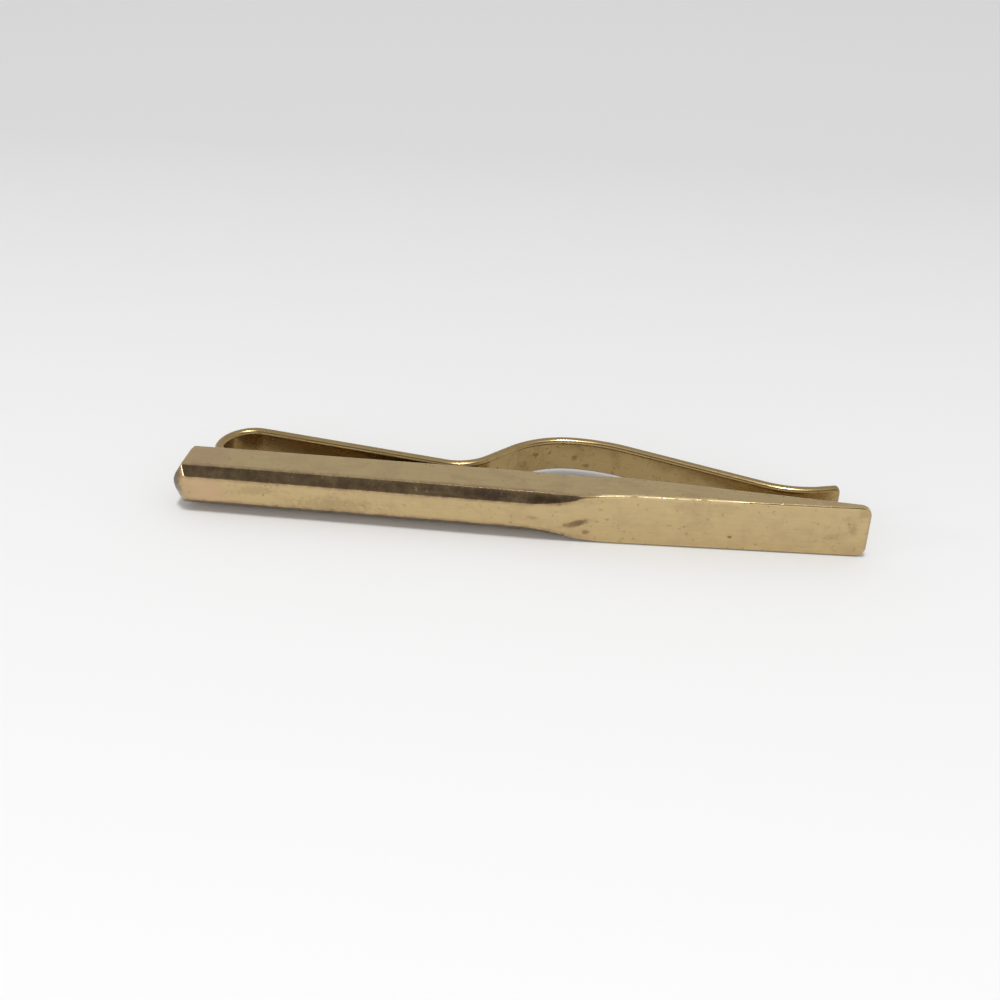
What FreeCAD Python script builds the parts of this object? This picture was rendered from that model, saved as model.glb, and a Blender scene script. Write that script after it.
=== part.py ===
import FreeCAD, Part
import math
import os

# A slide-on tie clip, in millimetres. The bar is shaped like a small cold chisel and stands on its
# long edge, as it was photographed: +X runs from the head to the blade, the front faces -Y and the
# spring strip is on the +Y side. Lengths along the bar are measured from the head's end, and heights
# of the strip from the flat back of the shank.

# Bar
bar_length = 55.0
shank_height = 3.6
shank_depth = 3.8
shank_chamfer = 0.72
head_slant = 33.0
head_tip_radius = 1.5
stop_start = 29.3
lower_stop_lead = 1.5
stop_radius = 25.0
flare_start = 29.5
flare_end = 35.5
blade_height = 4.45
blade_edge_thickness = 0.62
blade_edge_setback = 1.3
front_taper_start = 29.3
back_taper_start = 26.2
taper_blend_radius = 40.0
blade_corner_radius = 0.8
edge_round = 0.22

# Spring strip
strip_width = 2.9
strip_thickness = 0.85
strip_edge_round = 0.2
strip_below_middle = 0.2
bend_from_head = 2.05
bend_leg_radius = 1.65
bend_arm_radius = 3.0
leg_end_from_head = 25.0
first_dip_from_head = 22.2
first_dip_radius = 3.3
dip_clearance = 0.12
bow_from_head = 31.5
bow_height = 6.85
bow_near_radius = 7.2
bow_far_radius = 14.3
second_dip_from_head = 49.6
second_dip_height = 1.8
second_dip_radius = 7.2
lip_end_from_head = 52.85
lip_angle = 16.0
lip_corner_inside_edge = 0.26

# Solder
solder_leg = 0.3

# Places that follow from the sizes above
middle_height = blade_height / 2
strip_height = middle_height - strip_below_middle
shank_top = middle_height + shank_height / 2
first_dip_height = 2 * strip_thickness + dip_clearance
lip_corner_radius = lip_corner_inside_edge + strip_edge_round
origin_from_head = bar_length / 2
origin_from_front = (shank_depth + bow_height) / 2


def along(from_head, from_front, height):
    """A point, from its distances along the bar, behind the front face and above the ground."""
    return FreeCAD.Vector(from_head - origin_from_head, from_front - origin_from_front, height)


def behind(from_head, distance, height):
    """The same, with the second distance measured from the flat back of the shank."""
    return along(from_head, shank_depth + distance, height)


def lines(points):
    return [Part.makeLine(first, last) for first, last in zip(points, points[1:])]


def arc(first, middle, last):
    return Part.Arc(first, middle, last).toShape()


def face_of(edges):
    return Part.Face(Part.Wire(Part.__sortEdges__(edges)))


def s_curve(start, end, place):
    """Two equal tangent arcs from one level to another; start and end are (distance, level)."""
    run = end[0] - start[0]
    rise = end[1] - start[1]
    side = math.copysign(1.0, rise)
    radius = (run ** 2 + rise ** 2) / (4 * abs(rise))
    half_turn = math.asin(run / 2 / radius) / 2
    across = radius * math.sin(half_turn)
    up = side * radius * (1 - math.cos(half_turn))
    middle = ((start[0] + end[0]) / 2, (start[1] + end[1]) / 2)
    first_arc = arc(place(*start), place(start[0] + across, start[1] + up), place(*middle))
    second_arc = arc(place(*middle), place(end[0] - across, end[1] - up), place(*end))
    return [first_arc, second_arc]


def blended_taper(start, end, level, place):
    """A line along a level that turns through a wide arc into a straight taper ending at end."""
    slope = math.atan2(end[1] - level, end[0] - start)
    reach = taper_blend_radius * math.tan(abs(slope) / 2)
    side = math.copysign(1.0, slope)
    turn = abs(slope) / 2
    before = (start - reach, level)
    after = (start + reach * math.cos(slope), level + reach * math.sin(slope))
    crest = (before[0] + taper_blend_radius * math.sin(turn),
             level + side * taper_blend_radius * (1 - math.cos(turn)))
    edges = lines([place(0, level), place(*before)])
    edges.append(arc(place(*before), place(*crest), place(*after)))
    return edges + lines([place(*after), place(*end)])


def blade_and_shank():
    """The bar without its chamfers and head: its front outline crossed with its plan."""
    low = middle_height - shank_height / 2

    def in_front(from_head, height):
        return along(from_head, 0, height)

    corner = blade_corner_radius
    inset = corner * (1 - math.sqrt(0.5))
    outline = lines([in_front(0, low), in_front(flare_start, low)])
    outline += s_curve((flare_start, low), (flare_end, 0), in_front)
    outline += lines([in_front(flare_end, 0), in_front(bar_length - corner, 0)])
    outline.append(arc(in_front(bar_length - corner, 0), in_front(bar_length - inset, inset),
                       in_front(bar_length, corner)))
    outline += lines([in_front(bar_length, corner), in_front(bar_length, blade_height - corner)])
    outline.append(arc(in_front(bar_length, blade_height - corner),
                       in_front(bar_length - inset, blade_height - inset),
                       in_front(bar_length - corner, blade_height)))
    outline += lines([in_front(bar_length - corner, blade_height), in_front(flare_end, blade_height)])
    outline += s_curve((flare_start, shank_top), (flare_end, blade_height), in_front)
    outline += lines([in_front(flare_start, shank_top), in_front(0, shank_top), in_front(0, low)])
    seen_from_front = face_of(outline).extrude(FreeCAD.Vector(0, shank_depth, 0))

    def in_plan(from_head, from_front):
        return along(from_head, from_front, 0)

    edge_front = blade_edge_setback
    edge_back = blade_edge_setback + blade_edge_thickness
    plan = blended_taper(front_taper_start, (bar_length, edge_front), 0, in_plan)
    plan += blended_taper(back_taper_start, (bar_length, edge_back), shank_depth, in_plan)
    plan += lines([in_plan(bar_length, edge_front), in_plan(bar_length, edge_back)])
    plan += lines([in_plan(0, 0), in_plan(0, shank_depth)])
    seen_from_above = face_of(plan).extrude(FreeCAD.Vector(0, 0, blade_height))
    return seen_from_front.common(seen_from_above)


def runs_round_a_side(edge):
    """True for an edge where the front or back of the bar meets its top, bottom or thin end."""
    box = edge.BoundBox
    at_head = box.XMax < 0.01 - origin_from_head
    across = box.YLength > 0.3 * blade_edge_thickness and box.XLength < 0.01
    upright = box.ZLength > 0.9 * shank_height and box.XMax < bar_length / 2 - 0.01
    spans_bar = box.YLength > 0.9 * blade_edge_thickness and box.XLength < blade_corner_radius
    return not (at_head or across or upright or spans_bar)


def chamfer_cutter(stop):
    """What a wheel takes off the top front corner: a 45 degree flat that sweeps out from the stop."""
    centre_depth = shank_chamfer / 2
    centre_height = shank_top - shank_chamfer / 2
    reach = 3 * shank_chamfer

    def on_slant(from_head, outward):
        step = outward * math.sqrt(0.5)
        return along(from_head, centre_depth - step, centre_height + step)

    sweep = math.acos(1 - reach / stop_radius)

    def on_wheel(turn):
        return on_slant(stop + stop_radius * math.sin(turn), stop_radius * (1 - math.cos(turn)))

    edges = lines([on_slant(-1, reach), on_slant(-1, 0), on_slant(stop, 0)])
    edges.append(arc(on_wheel(0), on_wheel(sweep / 2), on_wheel(sweep)))
    edges += lines([on_wheel(sweep), on_slant(-1, reach)])
    cutter = face_of(edges)
    width = 4 * shank_chamfer
    half_width = FreeCAD.Vector(0, width * math.sqrt(0.5), width * math.sqrt(0.5))
    cutter.translate(-half_width)
    return cutter.extrude(2 * half_width)


def head_envelope():
    """The blunt point of the struck end: two slants and a round tip, the chamfer carried round them."""
    lean = math.radians(head_slant)
    clear_height = 2 * shank_height
    beyond = 0.1

    def place(from_head, up):
        return along(from_head, -beyond, middle_height + up)

    def on_tip(turn):
        return (head_tip_radius * (1 - math.cos(turn)), head_tip_radius * math.sin(turn))

    slant_start, slant_height = on_tip(lean)
    slant_end = slant_start + (clear_height - slant_height) * math.tan(lean)
    edges = [arc(place(*on_tip(-lean)), place(*on_tip(0)), place(*on_tip(lean)))]
    edges += lines([place(*on_tip(lean)), place(slant_end, clear_height),
                    place(bar_length + 1, clear_height), place(bar_length + 1, -clear_height),
                    place(slant_end, -clear_height), place(*on_tip(-lean))])
    block = face_of(edges).extrude(FreeCAD.Vector(0, shank_depth + 2 * beyond, 0))

    def round_the_head(from_front):
        level = place(0, 0).y + from_front
        reach = place(slant_end, 0).x + 0.01
        boxes = [(edge, edge.BoundBox) for edge in block.Edges]
        return [edge for edge, box in boxes
                if box.XMax < reach and abs(box.YMin - level) + abs(box.YMax - level) < 0.01]

    block = block.makeChamfer(shank_chamfer + beyond, round_the_head(0))
    return block.makeChamfer(edge_round + beyond, round_the_head(shank_depth + 2 * beyond))


def chisel_bar():
    bar = blade_and_shank()
    bar = bar.makeFillet(edge_round, [edge for edge in bar.Edges if runs_round_a_side(edge)])
    middle = FreeCAD.Vector(0, 0, middle_height)
    upper_cutter = chamfer_cutter(stop_start)
    lower_cutter = chamfer_cutter(stop_start - lower_stop_lead).mirror(middle, FreeCAD.Vector(0, 0, 1))
    bar = bar.cut(upper_cutter).cut(lower_cutter)
    return bar.common(head_envelope())


class Roller:
    """A circle that the strip's outer face wraps; turn is +1 to the left and -1 to the right."""

    def __init__(self, from_head, height, radius, turn):
        self.from_head = from_head
        self.height = height
        self.radius = radius
        self.turn = turn

    def point(self, heading, shift):
        """Where the strip runs in a heading (radians), shift being its depth below the outer face."""
        radius = self.radius + self.turn * shift
        return (self.from_head + self.turn * radius * math.sin(heading),
                self.height - self.turn * radius * math.cos(heading))


def heading_between(first, last):
    """The heading of the straight run that leaves one roller and meets the next one."""
    run = last.from_head - first.from_head
    rise = last.height - first.height
    distance = math.hypot(run, rise)
    lean = math.asin((first.turn * first.radius - last.turn * last.radius) / distance)
    return math.atan2(rise, run) + lean


def arm_rollers():
    """The bend, the first dip, both halves of the bow and the second dip, in order."""
    return [
        Roller(bend_from_head + bend_arm_radius, bend_leg_radius, bend_arm_radius, -1),
        Roller(first_dip_from_head, first_dip_height + first_dip_radius, first_dip_radius, 1),
        Roller(bow_from_head, bow_height - bow_near_radius, bow_near_radius, -1),
        Roller(bow_from_head, bow_height - bow_far_radius, bow_far_radius, -1),
        Roller(second_dip_from_head, second_dip_height + second_dip_radius, second_dip_radius, 1),
    ]


def arm_face_path(shift):
    """Edges of the arm's outer face, or of its inner face when shift is the strip's thickness."""
    bend, first_dip, bow_near, bow_far, second_dip = arm_rollers()
    falling = heading_between(bend, first_dip)
    rising = heading_between(first_dip, bow_near)
    sloping = heading_between(bow_far, second_dip)
    lip = math.radians(lip_angle)
    wraps = [
        (bend, math.pi / 2, falling),
        (first_dip, falling, rising),
        (bow_near, rising, 0.0),
        (bow_far, 0.0, sloping),
        (second_dip, sloping, lip),
    ]
    edges = []
    last = None
    for roller, heading_in, heading_out in wraps:
        first = roller.point(heading_in, shift)
        if last is not None and math.dist(first, last) > 1e-6:
            edges += lines([behind(*last, 0), behind(*first, 0)])
        middle = roller.point((heading_in + heading_out) / 2, shift)
        last = roller.point(heading_out, shift)
        edges.append(arc(behind(*first, 0), behind(*middle, 0), behind(*last, 0)))
    lip_outer_start = second_dip.point(lip, 0)
    lip_run = (lip_end_from_head - lip_outer_start[0]) / math.cos(lip)
    end = (last[0] + lip_run * math.cos(lip), last[1] + lip_run * math.sin(lip))
    return edges + lines([behind(*last, 0), behind(*end, 0)])


def leg_face_path(shift):
    """Edges of the leg's face on the bar, or of its other face when shift is the thickness."""
    bend_end = bend_from_head + bend_leg_radius
    radius = bend_leg_radius - shift
    slant = radius * math.sqrt(0.5)
    first = behind(bend_end - radius, bend_leg_radius, 0)
    middle = behind(bend_end - slant, bend_leg_radius - slant, 0)
    last = behind(bend_end, shift, 0)
    return [arc(first, middle, last), Part.makeLine(last, behind(leg_end_from_head, shift, 0))]


def strip_between(one_face, other_face):
    """A piece of the strip between two face paths, with square edges, and its two end lines."""
    ends = []
    for number in (0, -1):
        here = one_face[number].Vertexes[number].Point
        there = other_face[number].Vertexes[number].Point
        ends.append(Part.makeLine(here, there))
    flat = face_of(one_face + other_face + ends)
    flat.translate(FreeCAD.Vector(0, 0, strip_height - strip_width / 2))
    return flat.extrude(FreeCAD.Vector(0, 0, strip_width)), ends


def level_edges(strip, end_lines, at_ends):
    """The strip's upper and lower edges, either those on the given end lines or all the others."""
    chosen = []
    for edge in strip.Edges:
        box = edge.BoundBox
        middle = box.Center
        gaps = [math.hypot(middle.x - end.BoundBox.Center.x, middle.y - end.BoundBox.Center.y)
                for end in end_lines]
        if box.ZLength < 0.01 and (min(gaps) < 0.01) == at_ends:
            chosen.append(edge)
    return chosen


def spring_leg():
    leg, ends = strip_between(leg_face_path(0), leg_face_path(strip_thickness))
    return leg.makeFillet(strip_edge_round, level_edges(leg, ends, False))


def spring_arm():
    arm, ends = strip_between(arm_face_path(0), arm_face_path(strip_thickness))
    split_end, lip_end = ends
    arm = arm.makeFillet(lip_corner_radius, level_edges(arm, [lip_end], True))
    return arm.makeFillet(strip_edge_round, rim_edges(arm, split_end))


def rim_edges(strip, split_end):
    """Every edge round the two broad faces of the strip, up to where it is split from the leg."""
    split_middle = split_end.BoundBox.Center
    chosen = []
    for edge in strip.Edges:
        middle = edge.BoundBox.Center
        on_split = math.hypot(middle.x - split_middle.x, middle.y - split_middle.y) < strip_thickness
        joins_runs = edge.BoundBox.ZLength > strip_width - 2.1 * lip_corner_radius
        if not on_split and not joins_runs:
            chosen.append(edge)
    return chosen


def solder_seam(leg):
    """The fillet of solder over the leg and round its end; below, the leg is too near the bar's edge."""
    start = bend_from_head + bend_leg_radius
    end = leg_end_from_head + solder_leg
    low = strip_height - strip_width / 2 + strip_edge_round
    high = strip_height + strip_width / 2 + solder_leg

    def outline(inset, distance):
        corners = [(start, low), (end - inset, low), (end - inset, high - inset), (start, high - inset),
                   (start, low)]
        return Part.makePolygon([behind(from_head, distance, height) for from_head, height in corners])

    return Part.makeLoft([outline(0, 0), outline(solder_leg, solder_leg)], True, True).cut(leg)


os.makedirs("parts", exist_ok=True)
leg = spring_leg()
chisel_bar().exportStep("parts/chisel_bar.step")
leg.exportStep("parts/spring_leg.step")
spring_arm().exportStep("parts/spring_arm.step")
solder_seam(leg).exportStep("parts/solder_seam.step")
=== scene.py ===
import bmesh
import bpy
import math
from mathutils import Matrix, Vector


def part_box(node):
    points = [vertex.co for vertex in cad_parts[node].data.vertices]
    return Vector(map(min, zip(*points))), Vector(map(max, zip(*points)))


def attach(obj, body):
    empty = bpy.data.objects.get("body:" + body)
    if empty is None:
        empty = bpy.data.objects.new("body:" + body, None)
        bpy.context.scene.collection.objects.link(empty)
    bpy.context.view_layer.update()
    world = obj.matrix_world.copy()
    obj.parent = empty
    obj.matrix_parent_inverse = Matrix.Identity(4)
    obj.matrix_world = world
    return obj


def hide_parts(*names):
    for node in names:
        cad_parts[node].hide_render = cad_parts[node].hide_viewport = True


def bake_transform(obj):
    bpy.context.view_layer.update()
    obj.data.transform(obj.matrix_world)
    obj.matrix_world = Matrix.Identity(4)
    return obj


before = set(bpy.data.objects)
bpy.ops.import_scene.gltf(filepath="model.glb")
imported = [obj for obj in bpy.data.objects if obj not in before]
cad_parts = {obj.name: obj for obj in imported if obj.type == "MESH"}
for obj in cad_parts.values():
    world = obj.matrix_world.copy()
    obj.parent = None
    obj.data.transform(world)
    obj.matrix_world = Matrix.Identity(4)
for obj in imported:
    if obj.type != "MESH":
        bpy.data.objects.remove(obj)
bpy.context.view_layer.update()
scene = bpy.context.scene
mm = 0.001
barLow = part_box("chisel_bar")[0]
headX = barLow.x / mm          # the struck end
frontY = barLow.y / mm         # the bar's front face
print("frame loaded")


# the camera comes first, because everything else is judged through it
camera = {
    "place": (11.16, -86.41, 56.69), "target": (-1.45, -0.04, 0.0),
    "lens": 45.45, "sensor": 36.0, "clip": (2.0, 20000.0),
}


def placeCamera(spec):
    data = bpy.data.cameras.new("camera")
    data.lens = spec["lens"]
    data.sensor_width = spec["sensor"]
    data.clip_start, data.clip_end = [far * mm for far in spec["clip"]]
    item = bpy.data.objects.new("camera", data)
    place = Vector(spec["place"]) * mm
    look = Vector(spec["target"]) * mm - place
    item.location = place
    item.rotation_euler = look.to_track_quat("-Z", "Y").to_euler()
    scene.collection.objects.link(item)
    scene.camera = item


placeCamera(camera)
print("camera placed")


# helpers for meshes; sizes come in millimetres and leave in metres
meshing = {"weld": 0.0005, "crease": 35.0, "flatWeight": 90}


def finishMesh(bm, name, crease=meshing["crease"]):
    bmesh.ops.remove_doubles(bm, verts=bm.verts, dist=meshing["weld"])
    bmesh.ops.recalc_face_normals(bm, faces=bm.faces)
    bmesh.ops.scale(bm, vec=(mm, mm, mm), verts=bm.verts)
    mesh = bpy.data.meshes.new(name)
    bm.to_mesh(mesh)
    bm.free()
    mesh.shade_smooth()
    mesh.set_sharp_from_angle(angle=math.radians(crease))
    item = bpy.data.objects.new(name, mesh)
    scene.collection.objects.link(item)
    weighted = item.modifiers.new("flat faces stay flat", "WEIGHTED_NORMAL")
    weighted.keep_sharp = True
    weighted.weight = meshing["flatWeight"]
    return item


def roundOff(bm, geom, size, segments, affect="EDGES"):
    bmesh.ops.bevel(bm, geom=geom, offset=size, offset_type="OFFSET", segments=segments, profile=0.5,
                    affect=affect, clamp_overlap=True, material=-1)


def ringEdges(bm, ring):
    return [bm.edges.get((a, b)) for a, b in zip(ring, ring[1:] + ring[:1])]


def nextRing(bm, ring):
    made = bmesh.ops.extrude_edge_only(bm, edges=ringEdges(bm, ring))["geom"]
    fresh = {v for v in made if isinstance(v, bmesh.types.BMVert)}
    return [next(e.other_vert(v) for e in v.link_edges if e.other_vert(v) in fresh) for v in ring]


def smoothStep(low, high, value):
    t = min(max((value - low) / (high - low), 0.0), 1.0)
    return t * t * (3 - 2 * t)


def roundingAt(radius, toEnd):     # what a rounded edge takes off at a distance from the end
    if toEnd >= radius:
        return 0.0
    return radius - math.sqrt(max(radius ** 2 - (radius - toEnd) ** 2, 0.0))


# the chisel-shaped bar, in millimetres from the struck end, the front face and the ground
bar = {
    "length": 55.0, "shankHeight": 3.6, "shankDepth": 3.8, "bladeHeight": 4.45,
    "chamfer": 0.72, "upperStop": 29.3, "lowerStop": 27.8, "stopRadius": 25.0,
    "flareStart": 29.5, "flareEnd": 35.5, "upperFlareLag": 1.4,
    "frontTaperStart": 29.3, "frontTaperDepth": 1.3,
    "backTaperStart": 28.8, "backTaperDepth": 1.88, "taperBlend": 40.0,
    "bladeCorner": 0.8, "edgeRound": 0.22, "edgeShare": 0.48,     # most of the thickness one edge may take
    "softLegs": (0.13, 0.32),     # a chamfer goes from round to flat between these legs
    "headSlants": (33.0, 22.0), "tipRadius": 1.6, "headBackRound": 0.5,     # slants above and below the tip
    "headRim": 0.07, "headWear": 0.05,
    "wornCrease": 0.018, "upperCreaseEnd": 33.8, "lowerCreaseEnd": 32.6,
    # the darkening at the struck end's rim, along the chamfers and at the blade's tip is partly dirt,
    # partly painted shade
    "chamferDirtAndShade": (31.5, 34.6), "rimDirtAndShade": 0.2, "tipDirtAndShade": 0.7, "tipDirtAndShadeRun": 0.3,
    "roundPoints": 5, "chamferPoints": 9, "sideSteps": 6, "faceSteps": 8,
    # each row of stations is a first place, a step and a count
    "stations": ((2.2, 0.8, 1), (3.0, 1.0, 22), (25.0, 0.5, 5), (27.4, 0.2, 44), (36.5, 1.0, 18)),
    "tipTurns": (0, 14, 28, 42, 55, 66, 75, 83, 90),
}
barMiddle = bar["bladeHeight"] / 2

# outline points where a chamfer starts and ends, counted from the upper back corner
firstChamfer = bar["roundPoints"] + bar["sideSteps"] - 1
upperCrease = (firstChamfer, firstChamfer + bar["chamferPoints"] - 1)
lowerCrease = tuple(k + bar["chamferPoints"] - 1 + bar["faceSteps"] for k in upperCrease)


def flareAt(x):     # how far a side has flared out, on two arcs
    run = bar["flareEnd"] - bar["flareStart"]
    rise = (bar["bladeHeight"] - bar["shankHeight"]) / 2
    radius = (run ** 2 + rise ** 2) / (4 * rise)
    along = min(max(x - bar["flareStart"], 0.0), run)
    if along < run / 2:
        return radius - math.sqrt(radius ** 2 - along ** 2)
    return rise - radius + math.sqrt(radius ** 2 - (run - along) ** 2)


def taperAt(x, start, depth):     # how far a face has drawn in, after a blend at its start
    slope = math.atan2(depth, bar["length"] - start)
    reach = bar["taperBlend"] * math.tan(slope / 2)
    if x < start - reach:
        return 0.0
    if x < start + reach * math.cos(slope):
        return bar["taperBlend"] - math.sqrt(bar["taperBlend"] ** 2 - (x - start + reach) ** 2)
    return (x - start) * math.tan(slope)


def chamferAt(x, stop):     # leg of the 45 degree flat, swept out by the wheel at the stop
    if x <= stop:
        return bar["chamfer"]
    swing = math.asin(min((x - stop) / bar["stopRadius"], 1.0))
    return bar["chamfer"] - math.sqrt(2) * bar["stopRadius"] * (1 - math.cos(swing))


def cornerPoints(corner, first, second, size, bulge, count):     # flat at bulge 0, a quarter round at 1
    points = []
    for k in range(count):
        share = k / (count - 1)
        turn = share * math.pi / 2
        flat = (size * (1 - share), size * share)
        arc = (size * (1 - math.sin(turn)), size * (1 - math.cos(turn)))
        a, b = [f + (r - f) * bulge for f, r in zip(flat, arc)]
        points.append(tuple(corner[n] + first[n] * a + second[n] * b for n in (0, 1)))
    return points


def barSection(x):    # the outline across the bar, always with the same number of points
    toEnd = max(bar["length"] - x, 0.0)
    flares = [flareAt(x - bar["upperFlareLag"]), flareAt(x)]     # the upper side, then the lower one
    cut, thin = roundingAt(bar["bladeCorner"], toEnd), roundingAt(bar["edgeRound"], toEnd)
    above, below = [bar["shankHeight"] / 2 + flare - cut for flare in flares]
    high, low = barMiddle + above, barMiddle - below
    front = taperAt(x, bar["frontTaperStart"], bar["frontTaperDepth"])
    back = bar["shankDepth"] - taperAt(x, bar["backTaperStart"], bar["backTaperDepth"])
    legs = [chamferAt(x, bar[stop]) + flare - front if x < bar["flareEnd"] else 0.0
            for stop, flare in zip(("upperStop", "lowerStop"), flares)]
    front, back = front + thin, back - thin
    rounding = min(bar["edgeRound"], bar["edgeShare"] * (back - front))
    bulges = [1 - smoothStep(*bar["softLegs"], leg) for leg in legs]
    sizes = [max(leg, rounding) for leg in legs]
    few, many = bar["roundPoints"], bar["chamferPoints"]
    corners = [
        cornerPoints((back, high), (0, -1), (-1, 0), rounding, 1.0, few),
        cornerPoints((front, high), (1, 0), (0, -1), sizes[0], bulges[0], many),
        cornerPoints((front, low), (0, 1), (1, 0), sizes[1], bulges[1], many),
        cornerPoints((back, low), (-1, 0), (0, 1), rounding, 1.0, few),
    ]
    outline = []
    for k, points in enumerate(corners):
        outline += points
        steps = bar["faceSteps"] if k % 2 else bar["sideSteps"]
        start, end = Vector(points[-1]), Vector(corners[(k + 1) % len(corners)][0])
        outline += [tuple(start.lerp(end, n / steps)) for n in range(1, steps)]
    return outline


def headAt(depth, up):     # how far the struck end's surface lies from its tip
    inset = max(bar["chamfer"] - depth, roundingAt(bar["headBackRound"], bar["shankDepth"] - depth))
    lean = math.radians(bar["headSlants"][0 if up > 0 else 1])
    radius = bar["tipRadius"] - inset
    rise = radius * math.sin(lean)
    if abs(up) < rise:
        return bar["tipRadius"] - math.sqrt(radius ** 2 - up ** 2)
    return bar["tipRadius"] - radius * math.cos(lean) + (abs(up) - rise) * math.tan(lean)


def headGrid(bm):     # the end surface, in rows from the front face to the back
    rows, columns = upperCrease[1], bar["faceSteps"]
    outline, centre = barSection(0.0), bar["shankDepth"] / 2
    inside = 1 - 2 * bar["headWear"] / bar["shankHeight"]     # the end surface stops short of its worn rim
    grid = bmesh.ops.create_grid(bm, x_segments=columns, y_segments=rows, size=1.0)["verts"]
    for k, v in enumerate(grid):
        row, column = divmod(k, columns + 1)
        depth, high = outline[upperCrease[1] - row]
        low = outline[lowerCrease[0] + row][1]
        up = inside * (high + (low - high) * column / columns - barMiddle)
        depth = centre + inside * (depth - centre)
        v.co = (headX + headAt(depth, up), frontY + depth, barMiddle + up)

    def gridVert(k):     # outline point k, on the border of the grid
        if k <= upperCrease[1]:
            place = (upperCrease[1] - k, 0)
        elif k <= lowerCrease[0]:
            place = (0, k - upperCrease[1])
        elif k <= lowerCrease[0] + rows:
            place = (k - lowerCrease[0], columns)
        else:
            place = (rows, len(outline) - k)
        return grid[place[0] * (columns + 1) + place[1]]

    chamferRow = (upperCrease[1] - upperCrease[0]) * (columns + 1)
    crease = [bm.edges.get((grid[chamferRow + c], grid[chamferRow + c + 1])) for c in range(columns)]
    return [gridVert(k) for k in range(len(outline))], crease


def barStations():     # close together at the stops and at the blade's round corners
    xs = [first + step * k for first, step, count in bar["stations"] for k in range(count)]
    end = bar["length"] - bar["bladeCorner"]
    return xs + [end + bar["bladeCorner"] * math.sin(math.radians(turn)) for turn in bar["tipTurns"]]


def buildBar():
    bm = bmesh.new()
    dirtAndShade = bm.verts.layers.float.new("dirtAndShade")     # dirt and painted shade, full on the struck end and along the chamfers and their creases
    ring, creases = headGrid(bm)
    for v in bm.verts:
        v[dirtAndShade] = 1.0
    creases += ringEdges(bm, ring)
    chamfers = [k for first, last in (upperCrease, lowerCrease) for k in range(first, last + 1)]

    def markDirtAndShade(chamferShare, wholeShare):
        for k, v in enumerate(ring):
            v[dirtAndShade] = max(wholeShare, chamferShare if k in chamfers else 0.0)

    markDirtAndShade(bar["rimDirtAndShade"], 0.0)
    ring = nextRing(bm, ring)
    for v, (depth, height) in zip(ring, barSection(0.0)):
        v.co = (headX + headAt(depth, height - barMiddle) + bar["headRim"], frontY + depth, height)
    markDirtAndShade(bar["rimDirtAndShade"], 0.0)
    ring = nextRing(bm, ring)
    bmesh.ops.translate(bm, vec=(bar["headRim"], 0, 0), verts=ring)
    markDirtAndShade(1.0, 0.0)
    for x in barStations():
        before = ring
        ring = nextRing(bm, ring)
        for v, (depth, height) in zip(ring, barSection(x)):
            v.co = (headX + x, frontY + depth, height)
        markDirtAndShade(1.0 - smoothStep(*bar["chamferDirtAndShade"], x),
                  bar["tipDirtAndShade"] * smoothStep(bar["length"] - bar["tipDirtAndShadeRun"], bar["length"], x))
        if x <= bar["upperCreaseEnd"]:
            creases += [bm.edges.get((before[k], ring[k])) for k in upperCrease]
        if x <= bar["lowerCreaseEnd"]:
            creases += [bm.edges.get((before[k], ring[k])) for k in lowerCrease]
    bmesh.ops.edgeloop_fill(bm, edges=ringEdges(bm, ring))
    roundOff(bm, creases, bar["wornCrease"], segments=2)
    return finishMesh(bm, "chiselBar")


barPiece = buildBar()
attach(barPiece, "bar")
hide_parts("chisel_bar")
print("bar built")


# the spring strip: one flat wire bent round rollers, in two pieces that meet at the hairpin
# a dip or bow is given by its place along the bar, its height above the bar's back, and its radii
strip = {
    "width": 2.9, "thickness": 0.85, "edgeRound": 0.38, "centreHeight": 2.025,
    "bendFromHead": 2.05, "bendLegRadius": 1.65, "bendArmRadius": 3.0, "legEnd": 25.0, "endWear": 0.05,
    "firstDip": (22.2, 1.82, 3.3), "bow": (31.5, 6.85, 7.2, 14.3), "secondDip": (49.6, 1.8, 7.2),
    "lipEnd": 52.85, "lipAngle": 16.0, "lipCorner": 0.32, "lipRim": 0.2,
    "lipTurns": (15, 30, 45, 58, 69, 78, 85, 90), "stepDegrees": 3.0, "seamDegrees": 0.2,
}
backY = frontY + bar["shankDepth"]     # the flat back of the shank


def stripLoop(bm):    # rounded rectangle standing across the strip at the outermost line of the hairpin
    ring = bmesh.ops.create_grid(bm, x_segments=1, y_segments=1, size=0.5)["verts"]
    bmesh.ops.scale(bm, vec=(strip["thickness"], strip["width"], 1.0), verts=ring)
    bmesh.ops.rotate(bm, cent=(0, 0, 0), matrix=Matrix.Rotation(math.pi / 2, 3, "X"), verts=ring)
    bmesh.ops.translate(bm, verts=ring, vec=(
        headX + strip["bendFromHead"] + strip["thickness"] / 2,
        backY + strip["bendLegRadius"], strip["centreHeight"]))
    roundOff(bm, ring, strip["edgeRound"], segments=5, affect="VERTICES")
    return list(bm.edges)


def edgesOf(geom):
    return [g for g in geom if isinstance(g, bmesh.types.BMEdge)]


def vertsOf(edges):
    return list(dict.fromkeys(v for e in edges for v in e.verts))     # each once, in a steady order


def turnLoop(bm, edges, centre, degrees, steps):
    made = bmesh.ops.spin(bm, geom=edges + vertsOf(edges), cent=(centre[0], centre[1], 0), axis=(0, 0, 1),
                          dvec=(0, 0, 0), angle=math.radians(degrees), steps=steps, use_merge=False,
                          use_normal_flip=False, use_duplicate=False)
    return edgesOf(made["geom_last"])


def runLoop(bm, edges, vec):
    made = bmesh.ops.extrude_edge_only(bm, edges=edges)["geom"]
    far = {v for v in made if isinstance(v, bmesh.types.BMVert)}
    bmesh.ops.translate(bm, vec=vec, verts=list(far))
    return [e for e in edgesOf(made) if all(v in far for v in e.verts)]


def wrap(bm, edges, centre, degrees):
    return turnLoop(bm, edges, centre, degrees, max(2, round(abs(degrees) / strip["stepDegrees"])))


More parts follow.
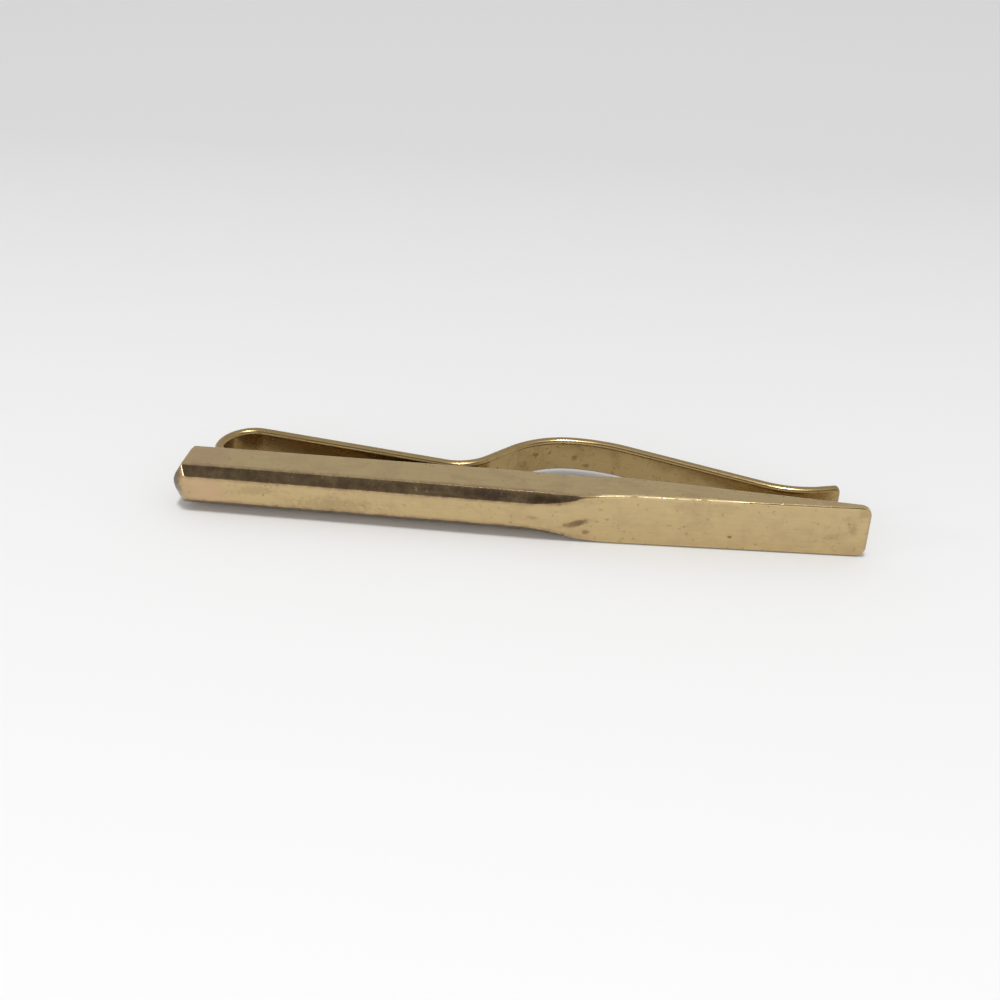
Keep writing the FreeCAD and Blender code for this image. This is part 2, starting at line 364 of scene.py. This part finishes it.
def buildLeg():
    bm = bmesh.new()
    edges = stripLoop(bm)
    centre = (headX + strip["bendFromHead"] + strip["bendLegRadius"], backY + strip["bendLegRadius"])
    edges = turnLoop(bm, edges, centre, strip["seamDegrees"], 1)
    edges = wrap(bm, edges, centre, 90.0 - strip["seamDegrees"])
    run = strip["legEnd"] - strip["bendFromHead"] - strip["bendLegRadius"]
    edges = runLoop(bm, edges, (run, 0, 0))
    cap = bmesh.ops.edgeloop_fill(bm, edges=edges)["faces"]
    roundOff(bm, list(cap[0].edges), strip["endWear"], segments=2)
    return finishMesh(bm, "springLeg")


def arcCentre(fromHead, height):
    return (headX + fromHead, backY + height)


def armRollers():     # centre, radius of the outer face, and which way the strip turns round it
    dipAt, dipHeight, dipRadius = strip["firstDip"]
    bowAt, bowHeight, nearRadius, farRadius = strip["bow"]
    lastAt, lastHeight, lastRadius = strip["secondDip"]
    bendAt = strip["bendFromHead"] + strip["bendArmRadius"]
    return [
        (arcCentre(bendAt, strip["bendLegRadius"]), strip["bendArmRadius"], -1),
        (arcCentre(dipAt, dipHeight + dipRadius), dipRadius, 1),
        (arcCentre(bowAt, bowHeight - nearRadius), nearRadius, -1),
        (arcCentre(bowAt, bowHeight - farRadius), farRadius, -1),
        (arcCentre(lastAt, lastHeight + lastRadius), lastRadius, 1),
    ]


def headingBetween(one, two):     # of the straight run that touches both rollers, in degrees
    run, rise = two[0][0] - one[0][0], two[0][1] - one[0][1]
    lean = math.asin((one[2] * one[1] - two[2] * two[1]) / math.hypot(run, rise))
    return math.degrees(math.atan2(rise, run) + lean)


def faceAt(roller, heading):     # the outer face's point on a roller
    (x, y), radius, turn = roller
    angle = math.radians(heading)
    return Vector((x + turn * radius * math.sin(angle), y - turn * radius * math.cos(angle), 0))


def roundLip(bm, edges, ahead):     # the last loops shrink to the lip's round corners and rim
    corner, rim = strip["lipCorner"], strip["lipRim"]
    halfWidth, halfThick = strip["width"] / 2, strip["thickness"] / 2
    nowWidth, nowThick, left = halfWidth, halfThick, corner
    square = Matrix.Rotation(math.radians(-strip["lipAngle"]), 4, "Z")
    for degrees in strip["lipTurns"]:
        turn = math.radians(degrees)
        toEnd = corner * (1 - math.sin(turn))
        edges = runLoop(bm, edges, ahead * (left - toEnd))
        width = halfWidth - corner + corner * math.cos(turn)
        thick = halfThick - roundingAt(rim, toEnd)
        verts = vertsOf(edges)
        centre = sum((v.co for v in verts), Vector()) / len(verts)
        bmesh.ops.scale(bm, vec=(1, thick / nowThick, width / nowWidth), verts=verts,
                        space=square @ Matrix.Translation(-centre))
        nowWidth, nowThick, left = width, thick, toEnd
    bmesh.ops.edgeloop_fill(bm, edges=edges)


def buildArm():
    bend, firstDip, bowNear, bowFar, secondDip = armRollers()
    falling, rising = headingBetween(bend, firstDip), headingBetween(firstDip, bowNear)
    sloping, lip = headingBetween(bowFar, secondDip), strip["lipAngle"]
    bm = bmesh.new()
    edges = stripLoop(bm)
    edges = turnLoop(bm, edges, bend[0], -strip["seamDegrees"], 1)
    edges = wrap(bm, edges, bend[0], falling - 90.0 + strip["seamDegrees"])
    edges = runLoop(bm, edges, faceAt(firstDip, falling) - faceAt(bend, falling))
    edges = wrap(bm, edges, firstDip[0], rising - falling)
    edges = runLoop(bm, edges, faceAt(bowNear, rising) - faceAt(firstDip, rising))
    edges = wrap(bm, edges, bowNear[0], -rising)
    edges = wrap(bm, edges, bowFar[0], sloping)
    edges = runLoop(bm, edges, faceAt(secondDip, sloping) - faceAt(bowFar, sloping))
    edges = wrap(bm, edges, secondDip[0], lip - sloping)
    ahead = Vector((math.cos(math.radians(lip)), math.sin(math.radians(lip)), 0))
    run = (headX + strip["lipEnd"] - faceAt(secondDip, lip).x) / ahead.x
    edges = runLoop(bm, edges, ahead * (run - strip["lipCorner"]))
    roundLip(bm, edges, ahead)
    return finishMesh(bm, "springArm")


legPiece = buildLeg()
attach(legPiece, "bar")
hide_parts("spring_leg")
armPiece = buildArm()
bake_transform(armPiece)
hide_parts("spring_arm")
print("strip built")


# the solder that ran along the leg's upper edge and round its end
solder = {
    "leg": 0.28, "inside": 0.15, "sunk": 0.02, "crease": 50.0,
    "start": 3.8, "fade": 2.0, "thinStart": 0.15, "lowEnd": 0.8, "endFade": 0.8, "thinEnd": 0.4,
    "steps": 56, "cornerSteps": 5, "endSteps": 9, "hollowSteps": 6,
    "waver": 0.16, "waves": ((0.9, 0.0), (0.37, 1.0)),     # turn for each step, and a start
}


def solderShare(thinnest, fade, fromEnd):     # the seam thins out towards both ends
    return thinnest + (1 - thinnest) * smoothStep(0.0, fade, fromEnd)


def solderPath():     # places on the strip's side, with the way out from it and a share of the full size
    top, low = strip["centreHeight"] + strip["width"] / 2, solder["lowEnd"]
    start, end = solder["start"], strip["legEnd"]
    places = []
    for k in range(solder["steps"] + 1):
        x = start + (end - start) * k / solder["steps"]
        places.append((x, top, 0.0, 1.0, solderShare(solder["thinStart"], solder["fade"], x - start)))
    for k in range(1, solder["cornerSteps"]):
        angle = math.pi / 2 * k / solder["cornerSteps"]
        places.append((end, top, math.sin(angle), math.cos(angle), 1.0))
    for k in range(solder["endSteps"] + 1):
        z = top + (low - top) * k / solder["endSteps"]
        places.append((end, z, 1.0, 0.0, solderShare(solder["thinEnd"], solder["endFade"], z - low)))
    return places


def solderProfile(leg):     # hollow, as solder sets, and square where it is hidden
    inside, sunk = -solder["inside"], -solder["sunk"]
    angles = [math.radians(90 * k / solder["hollowSteps"]) for k in range(solder["hollowSteps"] + 1)]
    hollow = [(leg - leg * math.sin(a), leg - leg * math.cos(a)) for a in angles]
    return [(leg, sunk)] + hollow + [(inside, leg), (inside, sunk)]


def buildSolder():
    bm = bmesh.new()
    count = len(solderProfile(solder["leg"]))
    ring = bmesh.ops.create_circle(bm, cap_ends=True, radius=1.0, segments=count)["verts"]
    for k, (x, z, outX, outZ, share) in enumerate(solderPath()):
        if k:
            ring = nextRing(bm, ring)
        wave = sum(math.sin(pitch * k + phase) for pitch, phase in solder["waves"]) / len(solder["waves"])
        leg = solder["leg"] * share * (1 + solder["waver"] * wave)
        for v, (out, rise) in zip(ring, solderProfile(leg)):
            v.co = (headX + x + outX * out, backY + rise, z + outZ * out)
    bmesh.ops.edgeloop_fill(bm, edges=ringEdges(bm, ring))
    return finishMesh(bm, "solderSeam", crease=solder["crease"])


solderPiece = buildSolder()
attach(solderPiece, "bar")
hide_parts("solder_seam")
print("solder laid")


# shared looks, as node groups that work in millimetres
patterns = {
    "clouds": {"Scale": 0.45, "Detail": 5.0, "Roughness": 0.62, "Distortion": 0.4},
    "specks": {"Scale": 2.3, "Detail": 4.0, "Roughness": 0.6, "Distortion": 0.3},
    "streaks": {"Scale": 1.2, "Detail": 4.0, "Roughness": 0.55},
    "dents": {"Scale": 1.3, "Detail": 2.0, "Roughness": 0.55},
    "ragged": {"Scale": 2.6, "Detail": 4.0, "Roughness": 0.55},
    "mottle": {"Scale": 1.6, "Detail": 5.0, "Roughness": 0.65},
}
wear = {
    "cloudEdge": (0.42, 0.72), "speckEdge": (0.6, 0.72), "streakStretch": (0.3, 5.0, 5.0),
    "streakShade": 0.22, "cloudDulls": 0.14, "speckDulls": 0.25, "streakDulls": 0.1,
    "streakHeight": 0.12, "speckHeight": -0.25, "spotEdge": (0.35, 1.15, 1.0, 0.0),
}


def makeGroup(name, inputs, outputs):
    group = bpy.data.node_groups.new(name, "ShaderNodeTree")
    for way, sockets in (("INPUT", inputs), ("OUTPUT", outputs)):
        for label, kind in sockets:
            group.interface.new_socket(label, in_out=way, socket_type="NodeSocket" + kind)
    return group, group.nodes.new("NodeGroupInput"), group.nodes.new("NodeGroupOutput")


def link(tree, source, target):
    if isinstance(source, bpy.types.NodeSocket):
        tree.links.new(source, target)
    else:
        target.default_value = source


def mathNode(tree, operation, one, two=0.0, three=0.0):
    node = tree.nodes.new("ShaderNodeMath")
    node.operation = operation
    for k, value in enumerate((one, two, three)):
        link(tree, value, node.inputs[k])
    return node.outputs[0]


def noise(tree, vector, pattern):
    node = tree.nodes.new("ShaderNodeTexNoise")
    tree.links.new(vector, node.inputs["Vector"])
    for label, value in patterns[pattern].items():
        node.inputs[label].default_value = value
    return node.outputs[0]


def waver(tree, vector, pattern):     # noise that goes both ways from zero
    return mathNode(tree, "SUBTRACT", noise(tree, vector, pattern), 0.5)


def stretch(tree, vector, scale):
    node = tree.nodes.new("ShaderNodeMapping")
    tree.links.new(vector, node.inputs["Vector"])
    node.inputs["Scale"].default_value = scale
    return node.outputs[0]


def span(tree, value, low, high, toLow=0.0, toHigh=1.0, kind="SMOOTHSTEP"):
    node = tree.nodes.new("ShaderNodeMapRange")
    node.interpolation_type = kind
    link(tree, value, node.inputs["Value"])
    for label, number in (("From Min", low), ("From Max", high), ("To Min", toLow), ("To Max", toHigh)):
        node.inputs[label].default_value = number
    return node.outputs[0]


def mixColor(tree, share, one, two):
    node = tree.nodes.new("ShaderNodeMix")
    node.data_type = "RGBA"
    link(tree, share, node.inputs[0])
    link(tree, one, node.inputs[6])     # 1 to 5 are for other kinds of data
    link(tree, two, node.inputs[7])
    return node.outputs[2]


def makeTarnish():
    group, given, result = makeGroup("tarnish", [
        ("Vector", "Vector"), ("Metal", "Color"), ("Stain", "Color"), ("Speck", "Color"),
        ("Cloudiness", "Float"), ("Speckle", "Float"), ("Polish", "Float")],
        [("Color", "Color"), ("Roughness", "Float"), ("Height", "Float")])
    place = given.outputs["Vector"]
    clouds = span(group, noise(group, place, "clouds"), *wear["cloudEdge"])
    clouds = mathNode(group, "MULTIPLY", clouds, given.outputs["Cloudiness"])
    specks = span(group, noise(group, place, "specks"), *wear["speckEdge"])
    specks = mathNode(group, "MULTIPLY", specks, given.outputs["Speckle"])
    streaks = waver(group, stretch(group, place, wear["streakStretch"]), "streaks")
    color = mixColor(group, clouds, given.outputs["Metal"], given.outputs["Stain"])
    color = mixColor(group, specks, color, given.outputs["Speck"])
    bright = group.nodes.new("ShaderNodeVectorMath")
    bright.operation = "SCALE"
    link(group, color, bright.inputs[0])
    link(group, mathNode(group, "MULTIPLY_ADD", streaks, wear["streakShade"], 1.0), bright.inputs["Scale"])
    link(group, bright.outputs[0], result.inputs["Color"])
    rough = mathNode(group, "MULTIPLY_ADD", clouds, wear["cloudDulls"], given.outputs["Polish"])
    rough = mathNode(group, "MULTIPLY_ADD", specks, wear["speckDulls"], rough)
    rough = mathNode(group, "MULTIPLY_ADD", streaks, wear["streakDulls"], rough)
    link(group, rough, result.inputs["Roughness"])
    height = mathNode(group, "MULTIPLY_ADD", streaks, wear["streakHeight"], noise(group, place, "dents"))
    height = mathNode(group, "MULTIPLY_ADD", specks, wear["speckHeight"], height)
    link(group, height, result.inputs["Height"])
    return group


def makeSpot():
    group, given, result = makeGroup("spot", [
        ("Vector", "Vector"), ("Place", "Vector"), ("Size", "Vector"), ("Turn", "Vector"),
        ("Ragged", "Float")],
        [("Mask", "Float")])
    mapping = group.nodes.new("ShaderNodeMapping")
    mapping.vector_type = "TEXTURE"
    sockets = {"Vector": "Vector", "Place": "Location", "Turn": "Rotation", "Size": "Scale"}
    for source, target in sockets.items():
        group.links.new(given.outputs[source], mapping.inputs[target])
    far = group.nodes.new("ShaderNodeVectorMath")
    far.operation = "LENGTH"
    group.links.new(mapping.outputs[0], far.inputs[0])
    edge = waver(group, given.outputs["Vector"], "ragged")
    edge = mathNode(group, "MULTIPLY_ADD", edge, given.outputs["Ragged"], far.outputs["Value"])
    link(group, span(group, edge, *wear["spotEdge"]), result.inputs["Mask"])
    return group


tarnish, spot = makeTarnish(), makeSpot()


# the brass and the solder; single marks are in millimetres in the object's frame
usualMark = {"turn": 0.0, "ragged": 1.4, "dulls": 0.25}
barMarks = [
    # a reddish bloom by the struck end, and the dark bevel of that end
    {"place": (-24.6, -5.33, 2.2), "size": (2.2, 1.0, 1.4), "strength": 0.5, "ragged": 0.6,
     "color": (0.6, 0.39, 0.25, 1), "dulls": 0.0},
    {"place": (-25.0, -3.0, 4.03), "size": (2.0, 2.0, 0.5), "strength": 0.35, "ragged": 0.6,
     "color": (0.5, 0.31, 0.22, 1), "dulls": 0.0},
    {"place": (-27.2, -4.5, 2.2), "size": (0.95, 1.5, 2.6), "strength": 0.85, "ragged": 1.0,
     "color": (0.15, 0.105, 0.08, 1), "dulls": 0.12},
    # stains where the blade starts, and a speck below its middle
    {"place": (5.3, -5.15, 1.75), "size": (1.35, 0.6, 0.34), "turn": 0.3, "strength": 0.85},
    {"place": (5.75, -5.13, 1.9), "size": (0.6, 0.5, 0.3), "turn": 0.3, "strength": 0.5},
    {"place": (6.0, -5.11, 0.98), "size": (0.34, 0.5, 0.26), "strength": 0.65},
    {"place": (17.1, -4.55, 1.24), "size": (0.22, 0.5, 0.16), "turn": 0.2, "strength": 0.85},
    # faint rubs at the blade's end and along the shank's front
    {"place": (24.8, -4.16, 1.74), "size": (0.8, 0.5, 0.4), "turn": 0.1, "strength": 0.25},
    {"place": (26.3, -4.08, 2.48), "size": (0.4, 0.5, 0.6), "strength": 0.3},
    {"place": (26.9, -4.06, 3.9), "size": (0.6, 0.6, 0.45), "strength": 0.3},
    {"place": (1.9, -5.33, 2.04), "size": (0.6, 0.4, 0.16), "strength": 0.3},
    {"place": (-14.0, -5.33, 1.8), "size": (4.0, 0.4, 0.8), "turn": 0.05, "strength": 0.28, "ragged": 2.2},
    {"place": (-20.5, -5.33, 2.5), "size": (2.5, 0.4, 0.5), "turn": 0.1, "strength": 0.24, "ragged": 2.2},
    # darker stretches of the upper chamfer
    {"place": (-1.5, -4.94, 3.69), "size": (2.2, 0.5, 0.5), "strength": 0.5,
     "color": (0.1, 0.07, 0.062, 1), "dulls": 0.0},
    {"place": (2.8, -5.03, 3.6), "size": (2.2, 0.42, 0.42), "strength": 0.6,
     "color": (0.1, 0.058, 0.024, 1), "dulls": 0.0},
]
edgeRubHighlight = {"along": (8.4, 11.0, 13.6, 16.2), "frontAtZero": -5.42, "slope": 0.0506, "height": 4.42}
barMarks += [     # the blade's upper front edge, lightened: partly rubbed wear, partly a painted highlight
    {"place": (along, edgeRubHighlight["frontAtZero"] + edgeRubHighlight["slope"] * along, edgeRubHighlight["height"]),
     "size": (2.2, 0.4, 0.24), "strength": 0.7, "ragged": 1.8, "color": (0.68, 0.54, 0.32, 1), "dulls": 0.6}
    for along in edgeRubHighlight["along"]
]
stripMarks = [     # darkening inside the hairpin, partly tarnish and partly painted shade, then single spots under the bow
    {"place": (-22.0, 0.6, 1.6), "size": (10.0, 2.6, 1.75), "strength": 0.6, "ragged": 0.7,
     "color": (0.33, 0.18, 0.042, 1), "dulls": 0.1},
    {"place": (0.2, 2.6, 1.7), "size": (0.4, 0.8, 0.3), "turn": 0.5, "strength": 0.7, "ragged": 2.4},
    {"place": (1.0, 3.3, 2.4), "size": (0.3, 0.8, 0.25), "turn": 0.3, "strength": 0.6, "ragged": 2.4},
    {"place": (4.2, 4.5, 1.9), "size": (0.3, 0.8, 0.3), "strength": 0.5, "ragged": 2.4},
    {"place": (5.2, 4.4, 1.2), "size": (0.35, 0.8, 0.2), "turn": 0.2, "strength": 0.5, "ragged": 2.4},
]
barLook = {
    "Metal": (0.588, 0.444, 0.228, 1), "Stain": (0.48, 0.34, 0.19, 1), "Speck": (0.21, 0.14, 0.07, 1),
    "Cloudiness": 0.6, "Speckle": 0.5, "Polish": 0.14,
}
stripLook = {
    "Metal": (0.41, 0.295, 0.135, 1), "Stain": (0.31, 0.205, 0.085, 1), "Speck": (0.14, 0.085, 0.03, 1),
    "Cloudiness": 0.7, "Speckle": 0.6, "Polish": 0.22,
}
solderLook = {
    "Metal": (0.5, 0.45, 0.34, 1), "Stain": (0.3, 0.24, 0.16, 1), "Speck": (0.12, 0.09, 0.06, 1),
    "Cloudiness": 0.9, "Speckle": 0.8, "Polish": 0.42,
}
# the darkening of the struck end, the chamfers and the blade's tip: partly dirt, partly painted shade that
# also dims the creases' highlights
dirtAndShadeLook = {"color": (0.25, 0.15, 0.095, 1), "mottle": (0.32, 0.66, 0.2, 0.85), "dulls": 0.07}
bumpLook = {"strength": 0.4, "depth": 0.03}


def placeGroup(tree, group, place):
    node = tree.nodes.new("ShaderNodeGroup")
    node.node_tree = group
    tree.links.new(place, node.inputs["Vector"])
    return node


def brass(name, look, marks):
    mat = bpy.data.materials.new(name)
    mat.use_nodes = True
    tree = mat.node_tree
    shader = tree.nodes["Principled BSDF"]
    shader.inputs["Metallic"].default_value = 1.0
    coords = tree.nodes.new("ShaderNodeTexCoord")
    place = stretch(tree, coords.outputs["Object"], (1 / mm, 1 / mm, 1 / mm))
    base = placeGroup(tree, tarnish, place)
    for label, value in look.items():
        base.inputs[label].default_value = value
    color, rough = base.outputs["Color"], base.outputs["Roughness"]
    # darker and duller where the attribute is set: partly dirt, partly painted shade on the chamfers and
    # their creases
    dirtAndShade = tree.nodes.new("ShaderNodeAttribute")
    dirtAndShade.attribute_name = "dirtAndShade"
    mottle = span(tree, noise(tree, place, "mottle"), *dirtAndShadeLook["mottle"])
    dirtAndShadeShare = mathNode(tree, "MULTIPLY", dirtAndShade.outputs["Fac"], mottle)
    color = mixColor(tree, dirtAndShadeShare, color, dirtAndShadeLook["color"])
    rough = mathNode(tree, "MULTIPLY_ADD", dirtAndShadeShare, dirtAndShadeLook["dulls"], rough)
    for mark in marks:
        mark = {"color": look["Speck"], **usualMark, **mark}
        node = placeGroup(tree, spot, place)
        node.inputs["Place"].default_value = mark["place"]
        node.inputs["Size"].default_value = mark["size"]
        node.inputs["Turn"].default_value = (0, -mark["turn"], 0)
        node.inputs["Ragged"].default_value = mark["ragged"]
        share = mathNode(tree, "MULTIPLY", node.outputs["Mask"], mark["strength"])
        color = mixColor(tree, share, color, mark["color"])
        rough = mathNode(tree, "MULTIPLY_ADD", share, mark["dulls"], rough)
    link(tree, color, shader.inputs["Base Color"])
    link(tree, rough, shader.inputs["Roughness"])
    bump = tree.nodes.new("ShaderNodeBump")
    bump.inputs["Strength"].default_value = bumpLook["strength"]
    bump.inputs["Distance"].default_value = bumpLook["depth"] * mm
    link(tree, base.outputs["Height"], bump.inputs["Height"])
    link(tree, bump.outputs[0], shader.inputs["Normal"])
    return mat


barPiece.data.materials.append(brass("wornBrass", barLook, barMarks))
legPiece.data.materials.append(brass("stripBrass", stripLook, stripMarks))
armPiece.data.materials.append(legPiece.data.materials[0])
solderPiece.data.materials.append(brass("dullSolder", solderLook, []))
print("materials made")


# floor, world and lamps, in metres; a sky or floor point is a place and its brightness
studio = {
    "floor": 4.0, "floorFront": (-0.05, 0.92), "floorBack": (0.09, 0.675),
    "floorRoughness": 0.9, "floorSpecular": 0.1,
    "sky": ((0.0, 1.0), (0.2, 0.9), (0.27, 0.155), (0.4, 0.155), (0.48, 0.72), (0.62, 0.62), (1.0, 0.58)),
    "sideFade": (0.5, 0.85), "sideSky": 0.75,
    "lamps": (
        {"name": "overheadLamp", "place": (0.02, -0.1, 0.95), "size": (0.12, 0.26), "power": 4.2},
        {"name": "sideLamp", "place": (-0.85, -0.37, 0.38), "size": (0.1, 0.1), "power": 0.5},
    ),
}


def buildFloor():
    bm = bmesh.new()
    bmesh.ops.create_grid(bm, x_segments=1, y_segments=1, size=studio["floor"])
    mesh = bpy.data.meshes.new("floor")
    bm.to_mesh(mesh)
    bm.free()
    item = bpy.data.objects.new("floor", mesh)
    scene.collection.objects.link(item)
    mat = bpy.data.materials.new("floorPaper")
    mat.use_nodes = True
    tree = mat.node_tree
    shader = tree.nodes["Principled BSDF"]
    coords = tree.nodes.new("ShaderNodeTexCoord")
    parts = tree.nodes.new("ShaderNodeSeparateXYZ")
    tree.links.new(coords.outputs["Object"], parts.inputs[0])
    (front, light), (back, dim) = studio["floorFront"], studio["floorBack"]     # painted shade: the floor's colour is paler towards the front and darker towards the back, where its light falls off
    floorFalloff = span(tree, parts.outputs["Y"], front, back, light, dim, kind="LINEAR")
    tree.links.new(floorFalloff, shader.inputs["Base Color"])
    shader.inputs["Roughness"].default_value = studio["floorRoughness"]
    shader.inputs["Specular IOR Level"].default_value = studio["floorSpecular"]
    mesh.materials.append(mat)


def buildWorld():     # brightness goes over the object from front to back, and is even at both sides
    world = bpy.data.worlds.new("studio")
    scene.world = world
    world.use_nodes = True
    tree = world.node_tree
    coords = tree.nodes.new("ShaderNodeTexCoord")
    parts = tree.nodes.new("ShaderNodeSeparateXYZ")
    tree.links.new(coords.outputs["Generated"], parts.inputs[0])
    forward = mathNode(tree, "MULTIPLY", parts.outputs["Y"], -1.0)
    angle = mathNode(tree, "ARCTAN2", parts.outputs["Z"], forward)
    ramp = tree.nodes.new("ShaderNodeValToRGB")
    points = ramp.color_ramp.elements     # a new ramp has two
    for k, (place, value) in enumerate(studio["sky"]):
        point = points[k] if k < 2 else points.new(place)
        point.position = place
        point.color = (value, value, value, 1)
    link(tree, mathNode(tree, "DIVIDE", angle, math.pi), ramp.inputs[0])
    aside = span(tree, mathNode(tree, "ABSOLUTE", parts.outputs["X"]), *studio["sideFade"])
    side = studio["sideSky"]
    sky = mixColor(tree, aside, ramp.outputs["Color"], (side, side, side, 1))
    tree.links.new(sky, tree.nodes["Background"].inputs["Color"])


def buildLamp(name, place, size, power):     # turned towards the object
    data = bpy.data.lights.new(name, "AREA")
    data.shape = "RECTANGLE"
    data.size, data.size_y = size
    data.energy = power
    item = bpy.data.objects.new(name, data)
    item.location = place
    item.rotation_euler = (-Vector(place)).to_track_quat("-Z", "Y").to_euler()
    scene.collection.objects.link(item)


buildFloor()
buildWorld()
for lamp in studio["lamps"]:
    buildLamp(**lamp)
scene.view_settings.view_transform = "Standard"
print("studio lit")
